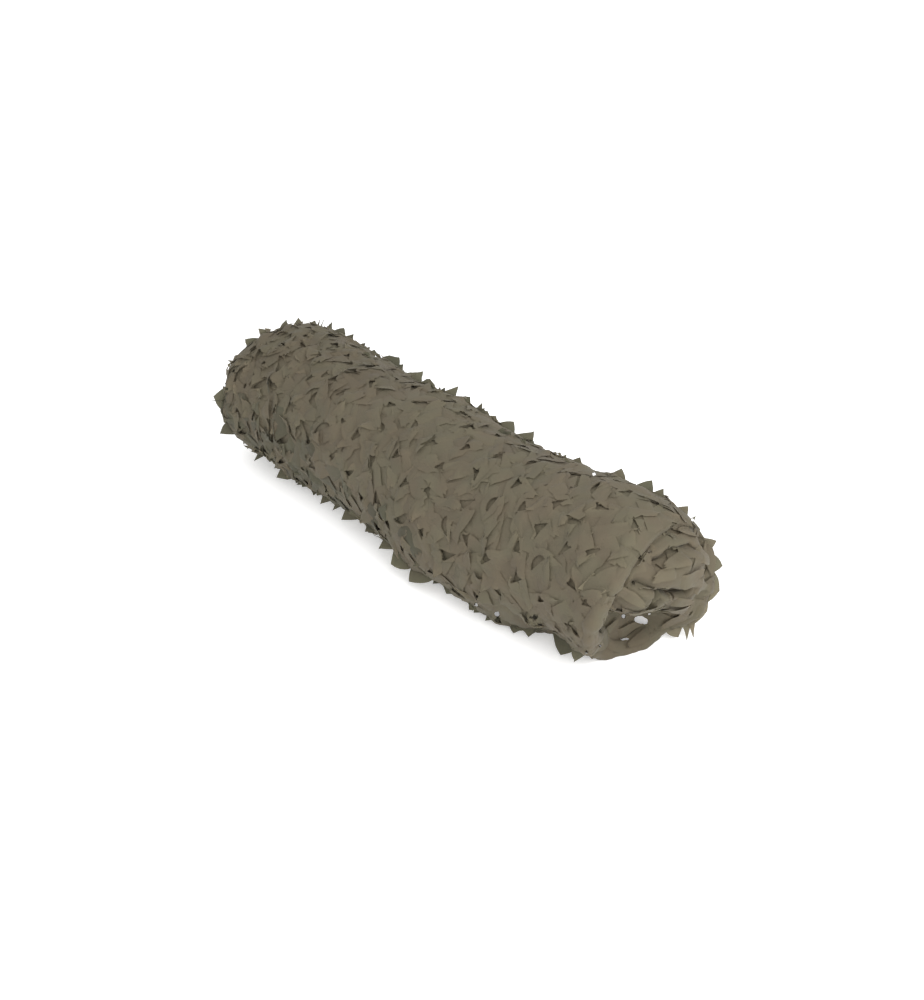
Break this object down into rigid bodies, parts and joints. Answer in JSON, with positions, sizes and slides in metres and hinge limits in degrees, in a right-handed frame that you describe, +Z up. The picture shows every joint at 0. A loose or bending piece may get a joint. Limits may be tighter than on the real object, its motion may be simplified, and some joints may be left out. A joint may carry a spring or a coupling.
{
  "type": "rolled leaf-cut shade net",
  "caption": "Khaki leaf-cut shade net wound into a loose roll, with leaf tips all round, one end open at its outer turn and the other closed.",
  "frame": {"origin": "on the floor, under the middle of the roll's box", "axes": "+X along the roll towards its open, near end; +Z up, away from the floor; +Y across the roll"},
  "size_m": [1.5002, 0.4564, 0.3925],
  "materials": {
    "leaf_cloth": "matt woven polyester, leaf-cut and drawn open"
  },
  "bodies": {
    "root": {"net_roll": "leaf_cloth"}
  },
  "joints": []
}
